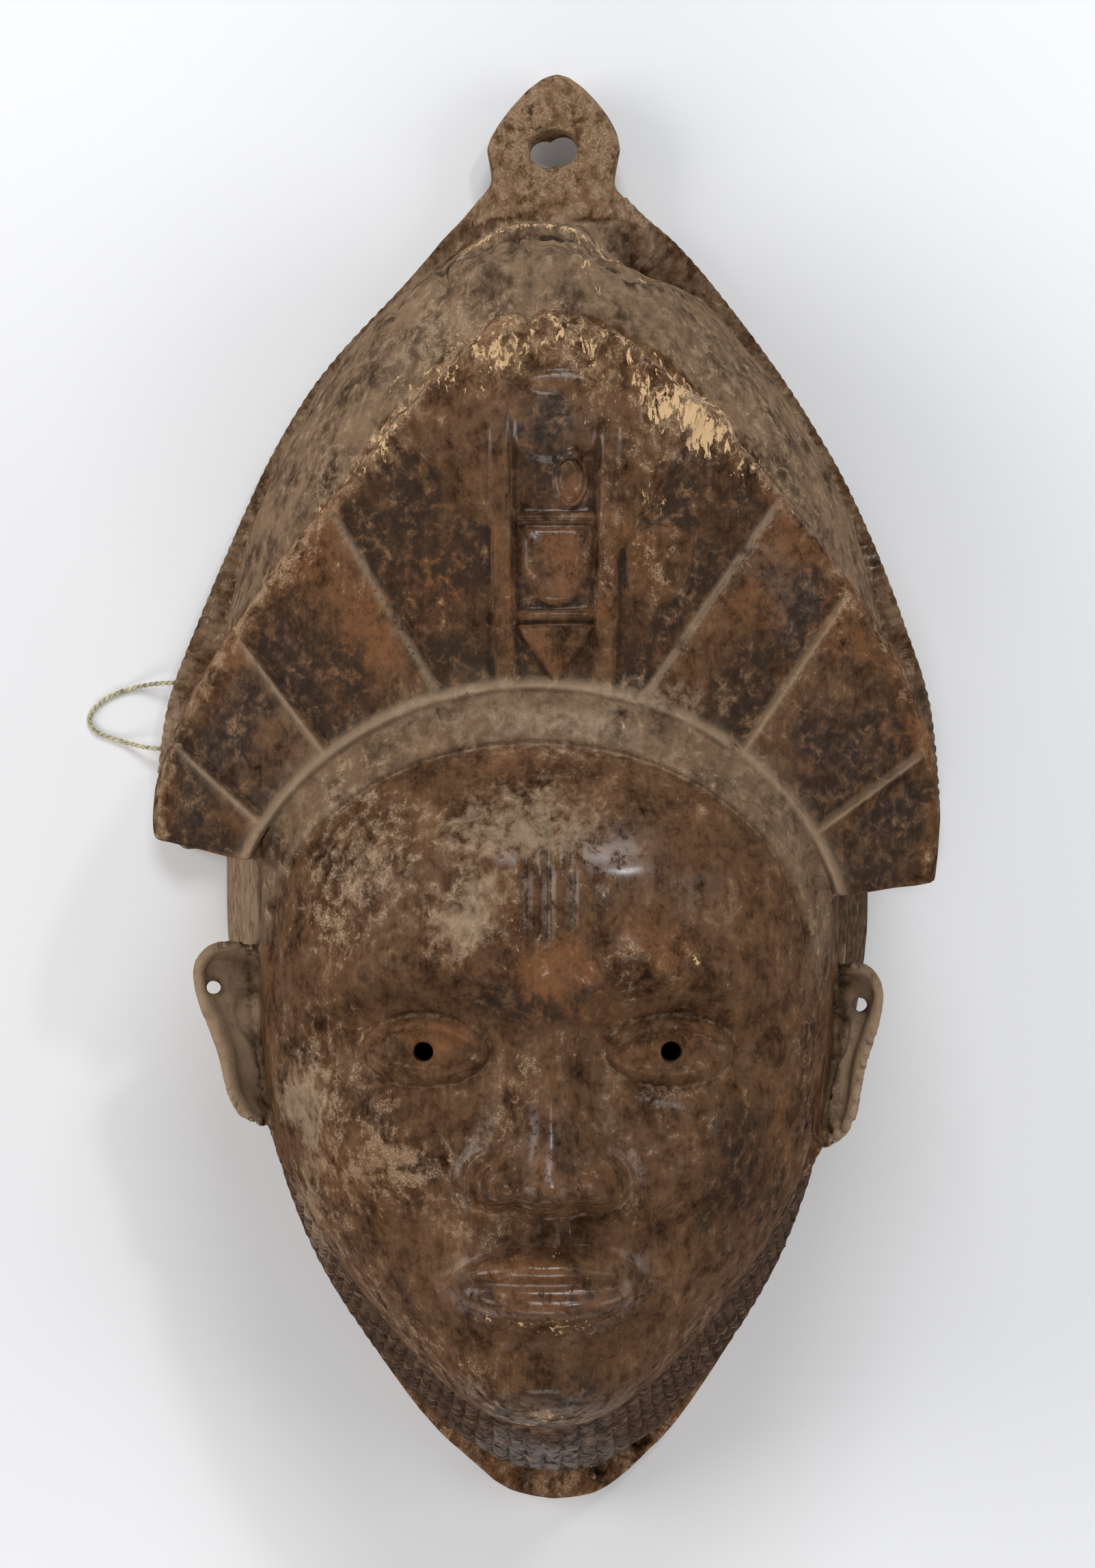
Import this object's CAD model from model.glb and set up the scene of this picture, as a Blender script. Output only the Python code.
import math
import bpy
import numpy as np
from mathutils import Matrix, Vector


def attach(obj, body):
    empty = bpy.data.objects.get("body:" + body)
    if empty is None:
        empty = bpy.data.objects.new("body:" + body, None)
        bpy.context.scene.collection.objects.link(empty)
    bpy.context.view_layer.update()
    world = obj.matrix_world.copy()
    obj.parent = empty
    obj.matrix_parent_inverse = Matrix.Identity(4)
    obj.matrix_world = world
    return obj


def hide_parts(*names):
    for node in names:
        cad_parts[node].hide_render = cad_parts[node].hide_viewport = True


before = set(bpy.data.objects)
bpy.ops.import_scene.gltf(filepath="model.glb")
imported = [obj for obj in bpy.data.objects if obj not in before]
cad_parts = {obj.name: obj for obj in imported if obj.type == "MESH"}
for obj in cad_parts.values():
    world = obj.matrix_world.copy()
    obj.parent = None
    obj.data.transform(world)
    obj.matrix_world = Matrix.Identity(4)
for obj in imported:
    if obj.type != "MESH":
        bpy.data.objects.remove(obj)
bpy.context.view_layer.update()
MM = 0.001

# The table, the daylight and the camera.
# A pale matt table top under soft light, strongest from a window past the lug end and from the left.
# The camera hangs straight over the mask, which lies on its back rim.
VIEW_HEIGHT_ON_TABLE = 0.4293
CAMERA_HEIGHT = 1.1
CAMERA_Y = 0.001
SENSOR_HEIGHT = 24
TABLE_SIZE = 8.0

bpy.ops.object.select_all(action="DESELECT")
bpy.ops.mesh.primitive_plane_add(size=TABLE_SIZE, location=(0, 0, 0))
table = bpy.context.object
table.name = "table_top"
table_paint = bpy.data.materials.new("pale_table")
table_paint.use_nodes = True
paint = table_paint.node_tree.nodes["Principled BSDF"]
paint.inputs["Base Color"].default_value = (0.79, 0.79, 0.80, 1)
paint.inputs["Roughness"].default_value = 0.6
table.data.materials.append(table_paint)


def soft_panel(name, place, width, height, power, colour):
    """A rectangle of even light that faces the mask."""
    bpy.ops.object.light_add(type="AREA", location=place)
    lamp = bpy.context.object
    lamp.name = name
    lamp.data.shape = "RECTANGLE"
    lamp.data.size = width
    lamp.data.size_y = height
    lamp.data.energy = power
    lamp.data.color = colour
    lamp.rotation_euler = (-Vector(place)).to_track_quat("-Z", "Y").to_euler()


soft_panel("window_light", (0.1, 1.5, 1.35), 0.8, 0.6, 19, (0.93, 0.97, 1.0))
soft_panel("left_wall", (-1.7, 0.25, 1.0), 1.3, 1.0, 19, (1.0, 0.985, 0.965))
soft_panel("right_wall", (1.7, 0.0, 1.1), 1.2, 1.0, 9.6, (1.0, 0.985, 0.965))
soft_panel("near_wall", (-0.2, -1.7, 1.3), 1.4, 0.9, 15.4, (1.0, 0.985, 0.97))
soft_panel("small_lamp", (0.49, 0.74, 1.35), 0.1, 0.1, 3, (0.95, 0.98, 1.0))

room = bpy.data.worlds.new("pale_room")
room.use_nodes = True
room.node_tree.nodes["Background"].inputs["Color"].default_value = (0.96, 0.97, 1.0, 1)
room.node_tree.nodes["Background"].inputs["Strength"].default_value = 0.29
bpy.context.scene.world = room
bpy.context.scene.view_settings.view_transform = "Standard"

bpy.ops.object.camera_add(location=(0, CAMERA_Y, CAMERA_HEIGHT), rotation=(0, 0, 0))
camera = bpy.context.object
camera.name = "camera_above"
camera.data.sensor_fit = "VERTICAL"
camera.data.sensor_height = SENSOR_HEIGHT
camera.data.lens = SENSOR_HEIGHT * CAMERA_HEIGHT / VIEW_HEIGHT_ON_TABLE
camera.data.clip_end = 20
bpy.context.scene.camera = camera


# The loop of twine.
# Two thin plies of pale plant fibre, twisted together. It goes through two small holes drilled in the left
# rim, makes a loop on the table outside, and its ends are knotted together inside the hollow.
# Sizes are in millimetres. The carver's own origin lies PART_SHIFT_Y above the frame's.
PART_SHIFT_Y = 1.088
TWINE_ROUTE = [
    (-60.5, 21.7, 0.9), (-61.6, 24, 1.1), (-64.6, 26.3, 2.3), (-69, 27.4, 3.9), (-75, 27.5, 4.5),
    (-84, 27.5, 4.5), (-93, 27.5, 4.5), (-101, 27.5, 4.4), (-106, 27.3, 3.3), (-110.5, 26.8, 1.8),
    (-115, 25.7, 0.9), (-119.5, 24, 0.8), (-123.2, 21.4, 0.8), (-125.4, 17.8, 0.8), (-123.6, 14.4, 0.8),
    (-119.5, 12.6, 0.8), (-115, 11.2, 1.4), (-110.8, 10.1, 2.9), (-106.5, 9.6, 4.2), (-98, 9.5, 4.5),
    (-86, 9.5, 4.5), (-75, 9.5, 4.5), (-69, 9.7, 3.9), (-64.6, 10.8, 2.3), (-61.6, 13, 1.1),
    (-60.5, 15.2, 0.9),
]
ROUTE_POINTS_PER_SPAN = 8
TWINE_STEP = 0.45
TWIST_PITCH = 3.4
PLY_OFFSET = 0.33
PLY_RADIUS = 0.36
PLY_SIDES = 7


def smooth_route(points, per_span):
    """Points along a curve through all the given points, close together."""
    stops = np.array(points, float)
    stops = np.vstack([2 * stops[0] - stops[1], stops, 2 * stops[-1] - stops[-2]])
    route = []
    for before, start, end, after in zip(stops, stops[1:], stops[2:], stops[3:]):
        for share in np.arange(per_span) / per_span:
            route.append(0.5 * (2 * start + (end - before) * share
                                + (2 * before - 5 * start + 4 * end - after) * share ** 2
                                + (3 * start - before - 3 * end + after) * share ** 3))
    route.append(stops[-2])
    return np.array(route)


def evenly_spaced(route, spacing):
    """The same line with its points an even distance apart."""
    lengths = np.r_[0, np.cumsum(np.linalg.norm(np.diff(route, axis=0), axis=1))]
    places = np.linspace(0, lengths[-1], int(round(lengths[-1] / spacing)) + 1)
    return np.column_stack([np.interp(places, lengths, route[:, axis]) for axis in range(3)]), lengths[-1]


def tube_mesh(line, radius, sides):
    """Rings of points round a line, and the faces of the closed tube through them."""
    along = np.gradient(line, axis=0)
    along /= np.linalg.norm(along, axis=1)[:, None]
    up = np.tile([0.0, 0.0, 1.0], (len(line), 1))
    across = np.cross(along, up)
    across /= np.linalg.norm(across, axis=1)[:, None]
    over = np.cross(across, along)
    turns = np.arange(sides) / sides * 2 * math.pi
    rings = (line[:, None, :] + radius * np.cos(turns)[None, :, None] * across[:, None, :]
             + radius * np.sin(turns)[None, :, None] * over[:, None, :])
    faces = []
    for ring in range(len(line) - 1):
        for side in range(sides):
            here = ring * sides + side
            beside = ring * sides + (side + 1) % sides
            faces.append((here, beside, beside + sides, here + sides))
    last = (len(line) - 1) * sides
    faces.append(tuple(reversed(range(sides))))
    faces.append(tuple(range(last, last + sides)))
    return rings.reshape(-1, 3), faces


twine_line, twine_length = evenly_spaced(smooth_route(TWINE_ROUTE, ROUTE_POINTS_PER_SPAN), TWINE_STEP)
twine_line[:, 1] += PART_SHIFT_Y
twine_along = np.gradient(twine_line, axis=0)
twine_along /= np.linalg.norm(twine_along, axis=1)[:, None]
twine_across = np.cross(twine_along, [0, 0, 1])
twine_across /= np.linalg.norm(twine_across, axis=1)[:, None]
twine_over = np.cross(twine_across, twine_along)
twine_points = []
twine_faces = []
for ply in (0, 1):
    turn = np.arange(len(twine_line)) * TWINE_STEP / TWIST_PITCH * 2 * math.pi + ply * math.pi
    strand = (twine_line + PLY_OFFSET * np.cos(turn)[:, None] * twine_across
              + PLY_OFFSET * np.sin(turn)[:, None] * twine_over)
    strand_points, strand_faces = tube_mesh(strand, PLY_RADIUS, PLY_SIDES)
    start = sum(len(done) for done in twine_points)
    twine_points.append(strand_points)
    twine_faces += [tuple(corner + start for corner in face) for face in strand_faces]
twine_mesh = bpy.data.meshes.new("twine")
twine_mesh.from_pydata((np.vstack(twine_points) * MM).tolist(), [], twine_faces)
twine_mesh.polygons.foreach_set("use_smooth", [True] * len(twine_mesh.polygons))
twine = bpy.data.objects.new("twisted_twine", twine_mesh)
bpy.context.scene.collection.objects.link(twine)


def add_node(tree, kind, inputs, **settings):
    """A new node with its settings, and its sockets set to values or joined to other sockets."""
    made = tree.nodes.new(kind)
    for name, value in settings.items():
        setattr(made, name, value)
    for socket, value in inputs.items():
        if isinstance(value, bpy.types.NodeSocket):
            tree.links.new(value, made.inputs[socket])
        else:
            made.inputs[socket].default_value = value
    return made


fibre = bpy.data.materials.new("plant_fibre_twine")
fibre.use_nodes = True
fibre_tree = fibre.node_tree
fibre_shader = fibre_tree.nodes["Principled BSDF"]
fibre_place = fibre_tree.nodes.new("ShaderNodeTexCoord").outputs["Object"]
fibre_settings = {"Vector": fibre_place, "Scale": 420, "Detail": 4, "Roughness": 0.7}
strands = add_node(fibre_tree, "ShaderNodeTexNoise", fibre_settings).outputs["Fac"]
fibre_tones = add_node(fibre_tree, "ShaderNodeValToRGB", {"Fac": strands})
dark_strand, pale_strand = fibre_tones.color_ramp.elements
dark_strand.position = 0.36
dark_strand.color = (0.22, 0.19, 0.10, 1)
pale_strand.position = 0.62
pale_strand.color = (0.62, 0.56, 0.38, 1)
fibre_tree.links.new(fibre_tones.outputs["Color"], fibre_shader.inputs["Base Color"])
bump_settings = {"Height": strands, "Strength": 0.8, "Distance": 0.15 * MM}
fibre_bump = add_node(fibre_tree, "ShaderNodeBump", bump_settings)
fibre_tree.links.new(fibre_bump.outputs["Normal"], fibre_shader.inputs["Normal"])
fibre_shader.inputs["Roughness"].default_value = 0.85
twine.data.materials.append(fibre)

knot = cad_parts["twine_knot"]
knot.data.materials.clear()
knot.data.materials.append(fibre)

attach(twine, "root")
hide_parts("twine_loop")


# The mask, one carving from one block of dark hardwood.
# The blank is the solid from the frame, turned into an even skin of small faces and eased as old tool marks
# are, and then cut again with the finer carving: lids, lips, pleats, ribs, grooves, chips and worn edges.
SAME_POINT = 0.002
SKIN_FACE = 0.85
SKIN_TRIANGLES = 192000
BLANK_EASING_ROUNDS = 9

bpy.ops.object.select_all(action="DESELECT")
mask = bpy.data.objects.new("carved_mask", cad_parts["mask"].data.copy())
bpy.context.scene.collection.objects.link(mask)
bpy.context.view_layer.objects.active = mask
mask.select_set(True)
bpy.ops.object.mode_set(mode="EDIT")
bpy.ops.mesh.select_all(action="SELECT")
bpy.ops.mesh.remove_doubles(threshold=SAME_POINT * MM)
bpy.ops.object.mode_set(mode="OBJECT")
skin = mask.modifiers.new("even_skin", "REMESH")
skin.mode = "VOXEL"
skin.voxel_size = SKIN_FACE * MM
bpy.ops.object.modifier_apply(modifier=skin.name)


def places_of(mesh):
    """The mesh's points in millimetres, in the carver's own frame."""
    flat = np.empty(len(mesh.vertices) * 3)
    mesh.vertices.foreach_get("co", flat)
    places = flat.reshape(-1, 3) / MM
    places[:, 1] -= PART_SHIFT_Y
    return places


def put_places(mesh, places):
    """Write the points back, with nothing below the table top."""
    placed = places.copy()
    placed[:, 1] += PART_SHIFT_Y
    placed[:, 2] = np.maximum(placed[:, 2], 0)
    mesh.vertices.foreach_set("co", (placed * MM).ravel())
    mesh.update()


def facing_of(mesh):
    """The direction that each point of the mesh faces."""
    flat = np.empty(len(mesh.vertices) * 3)
    mesh.vertex_normals.foreach_get("vector", flat)
    return flat.reshape(-1, 3)


class Neighbours:
    """Who is next to whom on the skin, for easing a value or a place over it."""

    def __init__(self, mesh):
        flat = np.empty(len(mesh.edges) * 2, dtype=np.int64)
        mesh.edges.foreach_get("vertices", flat)
        pairs = flat.reshape(-1, 2)
        self.ends = np.concatenate([pairs[:, 0], pairs[:, 1]])
        self.others = np.concatenate([pairs[:, 1], pairs[:, 0]])
        self.total = len(mesh.vertices)
        self.counts = np.maximum(np.bincount(self.ends, minlength=self.total), 1)

    def middle(self, values):
        """The mean of the neighbours' values."""
        if values.ndim == 1:
            return np.bincount(self.ends, values[self.others], minlength=self.total) / self.counts
        return np.column_stack([self.middle(column) for column in values.T])

    def eased(self, values, rounds, strength=0.5):
        """The values after some rounds of moving towards the neighbours' mean."""
        for _ in range(rounds):
            values = values + strength * (self.middle(values) - values)
        return values


def clamp01(value):
    return np.clip(value, 0.0, 1.0)


def ease(start, end, value):
    """From 0 at start to 1 at end, with soft ends."""
    share = clamp01((value - start) / (end - start))
    return share * share * (3 - 2 * share)


def bell(distance, spread):
    return np.exp(-(distance / spread) ** 2)


def station_curve(stations):
    """A smooth curve of value against place through a few stations, with no overshoot."""
    places, values = np.array(stations, float).T
    rises = np.diff(values) / np.diff(places)
    before = np.r_[rises[0], rises]
    after = np.r_[rises, rises[-1]]
    same_way = before * after > 0
    slopes = np.where(same_way, 2 * before * after / np.where(same_way, before + after, 1), 0)

    def curve(place):
        inside = np.clip(place, places[0], places[-1])
        start = np.clip(np.searchsorted(places, inside, side="left") - 1, 0, len(places) - 2)
        end = start + 1
        span = places[end] - places[start]
        share = (inside - places[start]) / span
        rise = values[end] - values[start]
        bend = (slopes[start] + slopes[end]) * span - 2 * rise
        swing = 3 * rise - (2 * slopes[start] + slopes[end]) * span
        return values[start] + share * (slopes[start] * span + share * (swing + share * bend))

    return curve


def lattice_noise(places, cell, seed, stretch=(1, 1, 1)):
    """Smooth random hills about one cell across, from -1 to 1, on a lattice that repeats past its sides."""
    side = 32
    clear_of_zero = 100.0
    heights = np.random.default_rng(seed).uniform(-1, 1, (side, side, side))
    at = places / (cell * np.array(stretch)) + clear_of_zero
    low = np.floor(at).astype(np.int64)
    share = at - low
    share = share * share * (3 - 2 * share)
    total = np.zeros(len(places))
    for dx in (0, 1):
        for dy in (0, 1):
            for dz in (0, 1):
                weight = np.ones(len(places))
                for axis, step in enumerate((dx, dy, dz)):
                    weight *= share[:, axis] if step else 1 - share[:, axis]
                corner = (low + [dx, dy, dz]) % side
                total += weight * heights[corner[:, 0], corner[:, 1], corner[:, 2]]
    return total


places = places_of(mask.data)
near = Neighbours(mask.data)
places = near.eased(places, BLANK_EASING_ROUNDS)
put_places(mask.data, places)
facing = facing_of(mask.data)


# The head and the face.
# The head is one smooth form from the hair band to the chin. The face on it is a calm, plain one of the
# carver's own, in equal thirds from the hairline to the chin, with the eyes about a fifth of the width apart.
HEAD_TOP_Y = 30
HEAD_ARCH_POWER = 2.4
HEAD_HALF_WIDTH = station_curve([
    (-163, 5), (-161, 12), (-157, 20), (-148, 31), (-130, 47), (-110, 61), (-90, 70), (-60, 74), (0, 75),
    (30, 72),
])
HEAD_SHOULDER_Z = station_curve([(-163, 72), (-130, 74), (-90, 66), (-30, 64), (30, 60)])
HEAD_FRONT_Z = station_curve([
    (-163, 86), (-161, 97), (-157, 109), (-150, 117), (-138, 121), (-100, 126), (-70, 130),
    (-42, 136), (-24, 135), (-6, 126), (9, 113), (23, 105), (30, 99),
])
HAIRLINE_Y = 6
CHIN_Y = -158
FACE_THIRD = (HAIRLINE_Y - CHIN_Y) / 3
BROW_Y = HAIRLINE_Y - FACE_THIRD
NOSE_BASE_Y = BROW_Y - FACE_THIRD
EYE_Y = BROW_Y - 0.3 * FACE_THIRD
MOUTH_Y = NOSE_BASE_Y - FACE_THIRD / 3
EYE_X = 30
EYE_HALF_WIDTH = 16
LID_HALF_WIDTH = 14.5
LIP_HALF_WIDTH = 26


def eye_relief(side, y):
    """Socket, brow, eyeball and the two lids round an almond opening."""
    across = (side - EYE_X) / EYE_HALF_WIDTH
    up = (y - EYE_Y) / 8.5
    relief = -8 * bell(side - EYE_X, 18) * bell(y - EYE_Y - 1.5, 11)
    relief += 7.5 * np.sqrt(clamp01(1 - across ** 2 - up ** 2))
    brow_line = BROW_Y + 3.5 - 0.007 * (side - 28) ** 2
    brow_ends = ease(4, 16, side) * (1 - ease(46, 62, side))
    from_line = y - brow_line
    relief += 3.5 * bell(from_line, np.where(from_line > 0, 7.5, 4.5)) * brow_ends

    almond = clamp01(1 - ((side - EYE_X) / LID_HALF_WIDTH) ** 2)
    corner_fade = ease(0, 0.25, almond)
    lean = y - EYE_Y - 0.04 * (side - EYE_X)
    upper = lean - 5.4 * almond ** 0.8
    lower = -4.6 * almond ** 0.9 - lean
    opening = ease(0.4, -0.6, upper) * ease(0.4, -0.6, lower) * corner_fade
    relief -= 1.0 * opening
    relief += 1.1 * (bell(upper - 0.9, 1.0) + 0.8 * bell(lower - 0.8, 0.9)) * corner_fade
    relief -= 0.9 * bell(upper - 3.6 * almond, 0.9) * ease(0.1, 0.4, almond)
    return relief


def nose_relief(x, y):
    """Ridge, tip and wings of the nose, with the nostrils under them."""
    side = np.abs(x)
    root_y = EYE_Y + 7
    tip_y = NOSE_BASE_Y + 7
    run = clamp01((root_y - y) / (root_y - tip_y))
    rise = (4 + 15 * run ** 1.4) * ease(root_y + 14, root_y - 6, y)
    foot = ease(NOSE_BASE_Y - 2, NOSE_BASE_Y + 4, y)
    ridge = rise * bell(x, 7 + 6 * run)
    wings = 9 * bell(side - 13, 5.5) * bell(y - NOSE_BASE_Y - 6.5, 6.5)
    wing_round = np.hypot((side - 12.5) / 6.6, (y - NOSE_BASE_Y - 6) / 7.2)
    crease = -1.4 * bell(wing_round - 1.15, 0.16) * ease(10, 15, side)
    crease *= ease(NOSE_BASE_Y - 3, NOSE_BASE_Y + 2, y)
    nostril = -5 * bell(side - 8.5, 3.2) * bell(y - NOSE_BASE_Y - 1.2, 2.4)
    return (ridge + wings) * foot + crease + nostril


def mouth_relief(x, y):
    """Closed full lips with a clear border, and the short groove above them."""
    side = np.abs(x)
    reach = clamp01(1 - (side / LIP_HALF_WIDTH) ** 2)
    upper_height = 0.5 + 8.5 * reach - 1.2 * bell(x, 4)
    lower_height = 0.5 + 10.5 * reach ** 0.8
    upper = (y - MOUTH_Y) / upper_height
    lower = (MOUTH_Y - y) / lower_height
    relief = 6.5 * np.sqrt(reach) * np.sin(np.pi * clamp01(upper)) ** 0.8
    relief += 7.5 * np.sqrt(reach) * np.sin(np.pi * clamp01(lower)) ** 0.8
    relief += 5 * bell(x, 27) * bell(y - MOUTH_Y, 17)
    inside = ease(0, 0.3, reach)
    relief += 0.7 * inside * (bell((upper - 1) * upper_height, 0.9) + bell((lower - 1) * lower_height, 0.9))
    relief -= 1.4 * inside * bell(y - MOUTH_Y, 1.1)
    relief -= 1.6 * bell(side - LIP_HALF_WIDTH - 0.5, 2.5) * bell(y - MOUTH_Y, 3)
    groove = ease(MOUTH_Y + 6, MOUTH_Y + 10, y) * ease(NOSE_BASE_Y + 1, NOSE_BASE_Y - 4, y)
    relief += groove * (0.6 * bell(side - 4.6, 1.8) - 1.1 * bell(x, 2.4))
    return relief


def face_relief(x, y):
    """How far the face stands out of the smooth form of the head."""
    side = np.abs(x)
    relief = eye_relief(side, y) + nose_relief(x, y) + mouth_relief(x, y)
    relief += 5 * bell(side - 42, 16) * bell(y - EYE_Y + 21, 15)
    relief -= 3 * bell(x, 20) * bell(y - MOUTH_Y + 17, 5)
    relief += 5 * bell(x, 16) * bell(y - CHIN_Y - 10, 8)
    return relief


def head_height(x, y):
    across = clamp01(np.abs(x) / HEAD_HALF_WIDTH(y))
    shoulder = HEAD_SHOULDER_Z(y)
    smooth = shoulder + (HEAD_FRONT_Z(y) - shoulder) * np.sqrt(1 - across ** HEAD_ARCH_POWER)
    return smooth + face_relief(x, y) * (1 - across ** 6)


# The fan crest.
# A thick slab over the forehead, carved as a fan of pleats on each side of a middle strip with two flat ribs.
# Each pleat is cut down steeply on the strip's side of its ridge, and rises slowly to the next one.
FAN_CENTRE = np.array([-3.0, -45.0])
FAN_INNER = np.array([77.0, 68.0])
FAN_OUTER_RADIUS = station_curve([
    (12, 103.5), (23.7, 112), (39, 119), (51, 124.3), (61, 132.2), (68, 139.5), (79, 155), (89, 161.5),
    (94.4, 158.7), (105, 139.7), (114, 126.6), (136, 112), (157, 105.5), (162, 101),
])
FAN_RIDGES = [
    (11.2, 14.3), (28.2, 27.2), (49.5, 48.7), (61.7, 70), (83, 77.5), (93.5, 95.4),
    (114.4, 107.3), (132.4, 131.8), (148.8, 150.6), (162, 158),
]
RIGHT_RIDGES = (1, 2, 3)
LEFT_RIDGES = (6, 7, 8)
MIDDLE_STRIP = 4
PLEAT_DEPTH = 3.3
PLEAT_STEP = 2.6
RIB_HALF_WIDTH = 2.1
PANEL_DEPTH = 1.9
LEFT_TRIANGLE_LINE = np.array([(-40.7, 89.0), (-15.2, 64.0)])
RIGHT_TRIANGLE_LINE = np.array([(19.8, 60.5), (34.6, 85.0)])
FAN_ROLL = 6.0


def fan_front(x, y):
    return 114 - 0.0024 * x * x - 0.03 * (y - FAN_INNER[1] - FAN_CENTRE[1])


def fan_polar(x, y):
    """Millimetres out from the fan's inner arc, and in from its outer edge, with the angle in degrees."""
    across, up = x - FAN_CENTRE[0], y - FAN_CENTRE[1]
    angle = np.degrees(np.arctan2(up, across))
    radius = np.hypot(across, up)
    turn = np.radians(angle)
    inner = 1 / np.hypot(np.cos(turn) / FAN_INNER[0], np.sin(turn) / FAN_INNER[1])
    return radius - inner, FAN_OUTER_RADIUS(angle) - radius, angle


def ridge_line(outer_angle, inner_angle):
    """A ridge's foot on the inner arc and its end at the outer edge."""
    inner_turn, outer_turn = np.radians([inner_angle, outer_angle])
    foot = FAN_CENTRE + FAN_INNER * [np.cos(inner_turn), np.sin(inner_turn)]
    end = FAN_CENTRE + FAN_OUTER_RADIUS(outer_angle) * np.array([np.cos(outer_turn), np.sin(outer_turn)])
    return foot, end


def left_of_line(x, y, foot, end):
    """How far a place lies to the left of a line, looking from its foot to its end."""
    way = (end - foot) / np.hypot(*(end - foot))
    return way[0] * (y - foot[1]) - way[1] * (x - foot[0])


def pleat_height(from_high, to_next):
    """Down a short step from the high ridge, then up a long gentle slope to the next one."""
    share = clamp01(to_next / np.maximum(from_high + to_next, 1))
    return -PLEAT_DEPTH * ease(0.2, PLEAT_STEP, from_high) * share ** 0.8


def motif_relief(x, y):
    """The middle strip's motifs, from the inner arc up: wedge, bar, tongue, bar, nub and bulge."""
    middle = 2.1
    relief = np.full(len(x), -2.2)
    wedge = ease(0.7, -0.5, np.abs(x - middle) - (y - 25) * 0.68) * ease(39.3, 38.1, y)
    tongue_half = 8.6 * np.sqrt(clamp01((y - 43) / 10))
    tongue = ease(0.8, -1.6, np.abs(x - middle) - tongue_half) * ease(43, 46, y) * ease(63.6, 62.2, y)
    bars = bell(y - 41.4, 1.1) + bell(y - 65.4, 1.2)
    nub = clamp01(1 - ((x - middle - 3.6) / 4.2) ** 2 - ((y - 75) / 7.2) ** 2) ** 0.5
    bulge = clamp01(1 - ((x - middle) / 11.5) ** 2 - ((y - 86.5) / 7.5) ** 2) ** 0.5
    relief += 2.2 * wedge + 2.4 * tongue + 2.1 * clamp01(bars) + 3.0 * nub + 2.4 * bulge
    return relief


def ridge_distances(x, y):
    """How far each place lies to the left of every ridge, from the fan's right end to its left one."""
    return [left_of_line(x, y, *ridge_line(*ridge)) for ridge in FAN_RIDGES]


def fan_relief(x, y):
    """How far the fan's face stands out of its front plane."""
    out, edge, _ = fan_polar(x, y)
    lines = ridge_distances(x, y)
    end = np.minimum(lines[0], -lines[-1])
    relief = np.zeros(len(x))
    for i, (right_line, left_line) in enumerate(zip(lines, lines[1:])):
        within = (right_line >= 0) & (left_line <= 0)
        if i == 0:
            height = pleat_height(np.full(len(x), PLEAT_STEP), -left_line)
        elif i < MIDDLE_STRIP:
            height = pleat_height(right_line, -left_line)
        elif i > MIDDLE_STRIP:
            height = pleat_height(-left_line, right_line)
        else:
            height = motif_relief(x, y)
        relief = np.where(within, height, relief)

    # Beside the strip the panels lie lower, and rounded triangles stay high above them, up to the fan's top.
    right_panel = (lines[MIDDLE_STRIP - 1] >= 0) & (lines[MIDDLE_STRIP] <= 0)
    left_panel = (lines[MIDDLE_STRIP + 1] >= 0) & (lines[MIDDLE_STRIP + 2] <= 0)
    relief = np.where(right_panel | left_panel, np.minimum(relief, -PANEL_DEPTH), relief)
    tooth = (np.abs(x - 28) / 8.2) ** 3 + (np.abs(y - 54) / 9.6) ** 3
    relief += 1.2 * ease(1.25, 0.75, tooth)
    left_high = ease(-1.6, 1.6, left_of_line(x, y, *LEFT_TRIANGLE_LINE))
    right_high = ease(-0.7, 0.7, left_of_line(x, y, *RIGHT_TRIANGLE_LINE))
    relief = np.where(left_panel, relief * (1 - left_high) - 0.2 * left_high, relief)
    relief = np.where(right_panel, relief * (1 - right_high) - 0.2 * right_high, relief)

    for line in (lines[MIDDLE_STRIP], lines[MIDDLE_STRIP + 1]):
        flat = ease(RIB_HALF_WIDTH + 0.5, RIB_HALF_WIDTH - 0.3, np.abs(line))
        relief = relief * (1 - flat) + 0.1 * flat
        relief -= 0.9 * bell(np.abs(line) - RIB_HALF_WIDTH - 1.0, 0.6)

    relief *= ease(1.0, FAN_ROLL, edge) * ease(0.8, 3.2, out)
    relief *= 1 - 0.8 * ease(80, 93, y)
    almond = 1 - ((x - 2.6) / 12.5) ** 2
    almond_half = 4.6 * clamp01(almond)
    relief += 1.3 * clamp01(1 - ((y - 98.5) / np.maximum(almond_half, 0.1)) ** 2) * ease(0, 0.6, almond)
    relief += 0.6 * bell(out - 1.6, 1.1)
    relief += 0.5 * bell(edge - 5, 2.5)
    return relief - 1.6 * (1 - ease(-0.5, 4.5, end)) ** 2


# Where each form lies, as a share from 0 to 1 for every point of the skin.
x, y, z = places.T
out, edge, angle = fan_polar(x, y)
fan_top = fan_front(x, y)
ridge_lines = ridge_distances(x, y)
fan_end = np.minimum(ridge_lines[0], -ridge_lines[-1])
near_foot = ease(2.2, 1.0, np.abs(out)) * ease(-45, -30, y) * (z > fan_top - 9) * (facing[:, 2] > -0.3)
on_fan = ease(-0.6, 0.6, out) * ease(1.8, 3.4, edge) * ease(0.2, 1.4, fan_end)
on_fan *= np.maximum(ease(0.35, 0.7, facing[:, 2]), near_foot) * (z > fan_top - 9)
beyond_fan = ease(0.6, -0.6, out)
across_head = np.abs(x) / HEAD_HALF_WIDTH(y)
on_head = ease(0.985, 0.95, across_head) * np.maximum(ease(0.02, 0.2, facing[:, 2]), near_foot) * beyond_fan
on_head *= (z > HEAD_SHOULDER_Z(y) - 2) * (y > -162.6) * (y < HEAD_TOP_Y)

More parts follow.
